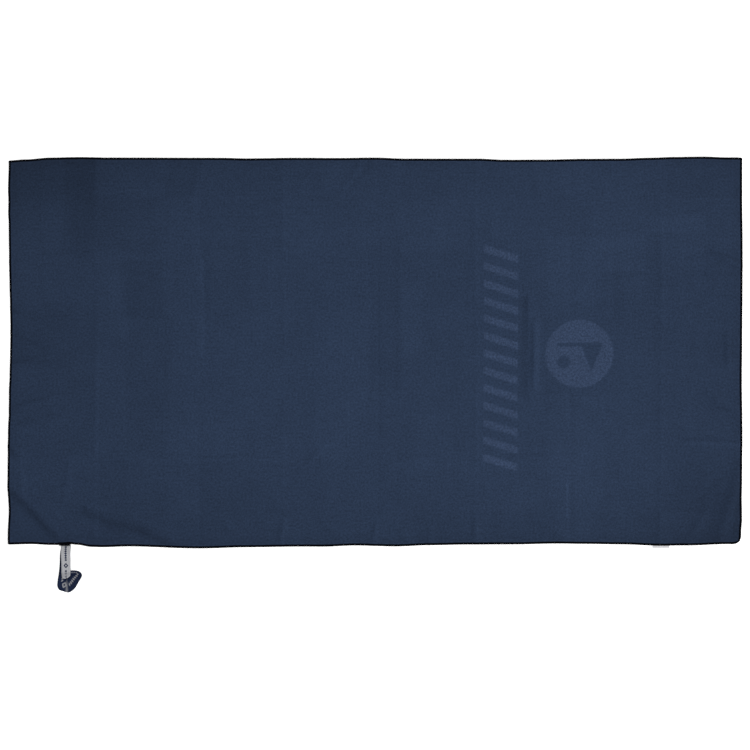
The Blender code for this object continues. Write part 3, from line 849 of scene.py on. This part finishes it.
def make_tape(outer, inner):
    """The looped tape, with its printed face outside and its reverse inside."""
    middle, across = smooth_route()
    ahead = np.gradient(middle, axis=0)
    face = np.cross(across, ahead)
    face /= np.linalg.norm(face, axis=1, keepdims=True)
    share = np.linspace(-0.5, 0.5, TAPE_COLUMNS)
    thick = TAPE_HALF * (1 - 0.55 * np.abs(2 * share) ** 6)
    spine = middle[:, None, :] + across[:, None, :] * share[None, :, None]
    long = np.concatenate([[0], np.cumsum(np.linalg.norm(np.diff(middle, axis=0), axis=1))])
    roll = np.argmin(middle[: len(middle) // 3, 1])
    tip = np.argmin(middle[:, 1])
    bow = ROLL_BOW * np.exp(-(((long - long[roll]) / (4 * MM)) ** 2))
    spine[:, :, 1] -= bow[:, None] * (1 - (2 * share) ** 2)[None, :]
    inside = spine + face[:, None, :] * thick[None, :, None]
    outside = spine - face[:, None, :] * thick[None, :, None]
    rows = len(middle)
    verts = np.concatenate([outside.reshape(-1, 3), inside.reshape(-1, 3)])
    count = rows * TAPE_COLUMNS
    out_faces = grid_faces(rows, TAPE_COLUMNS)
    in_faces = grid_faces(rows, TAPE_COLUMNS, count, flip=True)
    ring = border(rows, TAPE_COLUMNS)
    after = np.roll(ring, -1)
    rim = np.stack([ring, ring + count, after + count, after], axis=1)
    faces = np.concatenate([out_faces, in_faces, rim])
    piece = new_object("hanging_loop_tape", verts, faces, 45)
    flat = np.stack(np.meshgrid(share * TAPE_WIDTH, long), axis=-1).reshape(-1, 2)
    set_uv(piece, np.concatenate([flat, flat]))
    # Mid grey across the creased tip; painted shade on the upper strand from about 8.5 mm before it rolls
    # under to 1 mm before it, so the roll's edge stays bright
    worn = np.exp(-(((flat[:, 1] - long[tip]) / (1.1 * MM)) ** 2))
    before_roll = long[roll] - flat[:, 1]
    worn = worn + 0.8 * smoothstep((8.5 * MM - before_roll) / (3 * MM)) * smoothstep((before_roll - MM) / MM)
    set_value(piece, "worn", np.concatenate([worn, worn]))
    piece.data.materials.append(outer)
    piece.data.materials.append(inner)
    slots = np.zeros(len(faces), np.int32)
    slots[len(out_faces): len(out_faces) + len(in_faces)] = 1
    piece.data.polygons.foreach_set("material_index", slots)
    return piece, float(long[-1])


# ---------------------------------------------------------------- stitched bars over the loop and the label


BAR_DEPTH = 2.2 * MM
BAR_THREAD_HALF_WIDTH, BAR_THREAD_HALF_HEIGHT = 0.55 * MM, 0.22 * MM


def make_bar(name, middle_x, width, reach, height, passes, material):
    """A dense zigzag of thread over a sewn-in end."""
    count = passes * 2 + 1
    x = np.linspace(middle_x - width / 2, middle_x + width / 2, count)
    out = np.where(np.arange(count) % 2 == 0, BOTTOM + BAR_DEPTH, BOTTOM - reach)
    points = np.stack([x, out, np.full(count, height)], axis=1)
    between = (points[:-1] + points[1:]) / 2 + np.array((0, 0, 0.15 * MM))
    path = np.empty((2 * count - 1, 3))
    path[0::2], path[1::2] = points, between
    up = np.tile(np.array((0.0, 0.0, 1.0)), (len(path), 1))
    verts, quads, caps = ribbon_tube(path, up, BAR_THREAD_HALF_WIDTH, BAR_THREAD_HALF_HEIGHT)
    piece = new_object(name, verts, list(quads) + caps)
    set_uv(piece, np.repeat(path[:, :2], 6, axis=0))
    piece.data.materials.append(material)
    return piece


# ---------------------------------------------------------------- care label

LABEL_HALF = 0.11 * MM
# The hem lies this much lower at the label than its straight line
LABEL_DROP = 2.7 * MM
# How far the label shows below the hem, how far it is sewn in and how far it lies under the cloth
LABEL_SHOWN, LABEL_SEWN, LABEL_TUCKED = 3.9 * MM, 1.2 * MM, 41 * MM
LABEL_CURL = 0.42 * MM
LABEL_COLUMNS = 9


def make_label(material):
    """A ribbon that comes out of the hem, curls under and lies tucked in below the cloth."""
    bend = LABEL_SHOWN + LABEL_DROP - LABEL_CURL
    out = np.linspace(-LABEL_SEWN, bend, 8)
    turn = np.linspace(0, math.pi, 9)[1:-1]
    back = np.linspace(bend, -LABEL_TUCKED, 30)
    reach = np.concatenate([out, bend + LABEL_CURL * np.sin(turn), back])
    over = np.concatenate([out * 0 + 1, np.cos(turn), back * 0 - 1])
    height = LABEL_HALF + 0.05 * MM + LABEL_CURL * (1 + over)
    share = np.linspace(-0.5, 0.5, LABEL_COLUMNS)
    ahead = np.gradient(np.stack([reach, height], axis=1), axis=0)
    ahead /= np.linalg.norm(ahead, axis=1, keepdims=True)
    sides = []
    for sign in (1, -1):
        r = reach - ahead[:, 1] * LABEL_HALF * sign
        z = height + ahead[:, 0] * LABEL_HALF * sign
        x = np.tile(LABEL_X + share * LABEL_WIDTH, (len(r), 1))
        y, z = (np.tile(row, (LABEL_COLUMNS, 1)).T for row in (BOTTOM - r, z))
        sides.append(np.stack([x, y, z], axis=-1))
    rows, count = len(reach), len(reach) * LABEL_COLUMNS
    verts = np.concatenate([side.reshape(-1, 3) for side in sides])
    ring = border(rows, LABEL_COLUMNS)
    after = np.roll(ring, -1)
    faces = np.concatenate([
        grid_faces(rows, LABEL_COLUMNS, flip=True),
        grid_faces(rows, LABEL_COLUMNS, count),
        np.stack([ring, after, after + count, ring + count], axis=1),
    ])
    piece = new_object("care_label_ribbon", verts, faces, 45)
    step = np.hypot(np.diff(reach), np.diff(height))
    long = np.concatenate([[0], np.cumsum(step)])
    flat = np.stack(np.meshgrid(share * LABEL_WIDTH, long), axis=-1).reshape(-1, 2)
    set_uv(piece, np.concatenate([flat, flat]))
    piece.data.materials.append(material)
    return piece, float(long[-1])


# ---------------------------------------------------------------- stage

VIEW_WIDTH = 1.125
LENS = 85.0
SENSOR = 36.0


def make_stage():
    floor = new_object("floor", [(-6, -6, 0), (6, -6, 0), (6, 6, 0), (-6, 6, 0)], [(0, 1, 2, 3)])
    floor.location.z = -0.05 * MM
    s = Surface("pale_floor")
    grain = s.node("ShaderNodeTexNoise", Scale=3.0)
    colour = s.mix(grain.outputs["Fac"], (0.90, 0.90, 0.90), (0.92, 0.92, 0.92))
    s.feed(s.shader.inputs["Base Color"], colour)
    s.shader.inputs["Roughness"].default_value = 0.9
    s.shader.inputs["Specular IOR Level"].default_value = 0.1
    s.shader.inputs["Emission Color"].default_value = (1, 1, 1, 1)
    s.shader.inputs["Emission Strength"].default_value = 0.35
    floor.data.materials.append(s.made)
    world = bpy.data.worlds.new("studio")
    bpy.context.scene.world = world
    world.use_nodes = True
    sky = world.node_tree.nodes["Background"]
    sky.inputs["Color"].default_value = (1, 1, 1, 1)
    sky.inputs["Strength"].default_value = 1.0
    for name, place, size, power in (
        ("key", (4.6, -1.2, 2.2), 1.2, 275.0),
        ("fill", (-1.6, 2.2, 3.4), 2.4, 15.0),
    ):
        light = bpy.data.lights.new(name, "AREA")
        light.size, light.energy = size, power
        lamp = bpy.data.objects.new(name, light)
        bpy.context.scene.collection.objects.link(lamp)
        lamp.location = place
        aim = -lamp.location.normalized()
        lamp.rotation_euler = aim.to_track_quat("-Z", "Y").to_euler()
    camera = bpy.data.cameras.new("camera")
    camera.lens, camera.sensor_width = LENS, SENSOR
    viewer = bpy.data.objects.new("camera", camera)
    bpy.context.scene.collection.objects.link(viewer)
    viewer.location = (0.0, -1.5 * MM, VIEW_WIDTH * LENS / SENSOR)
    bpy.context.scene.camera = viewer
    bpy.context.scene.view_settings.view_transform = "Standard"


# ---------------------------------------------------------------- build


def join_to_fold(piece):
    """Bakes the piece's placement into its mesh."""
    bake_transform(piece)


def main():
    make_stage()
    suede = suede_material()
    thread = thread_material()
    for zone, low, high, first, second, fold in ZONES:
        cloth = make_sheet("cloth_" + zone, low, high, fold[0], suede)
        runs = hem_runs(low, high)
        threads = []
        for name, pattern, half_width, half_height in THREADS:
            piece = make_thread(name + "_" + zone, runs, pattern, half_width, half_height, thread)
            threads.append(piece)
        for piece in [cloth] + threads:
            join_to_fold(piece)
        nodes = [n for body in (first, second) for n in frame["record"]["behaviour"]["bodies"][body]]
        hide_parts(*[n for n in nodes if n.startswith("cloth_")])
        for piece in threads:
            kind = piece.name[: -len(zone) - 1]
            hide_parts(*[n for n in nodes if n.startswith(kind)])

    outer = tape_material("tape_face", TAPE_GREY, TAPE_SHADE, TAPE_NAVY, 2.2 * MM, 1.8 * MM)
    inner = tape_material("tape_reverse", TAPE_NAVY, TAPE_NAVY_SHADE, TAPE_SHADE, 2.2 * MM, 1.5 * MM)
    tape, tape_length = make_tape(outer, inner)
    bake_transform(tape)
    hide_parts("hanging_loop", "loop_tape_end_lower", "loop_tape_end_upper")
    bar = make_bar("loop_stitching_bar", LOOP_X - 2 * MM, 16.5 * MM, 3.2 * MM, 2.35 * MM, 19, thread)
    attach(bar, "left_outer_quarter")
    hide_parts("loop_stitching")

    label, label_length = make_label(shaded_label_material())
    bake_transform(label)
    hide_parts("care_label", "care_label_root")
    label_bar = make_bar("care_label_stitching_bar", LABEL_X, 22 * MM, 1.2 * MM, 1.35 * MM, 22, thread)
    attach(label_bar, "right_outer_quarter")
    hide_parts("care_label_stitching")


main()
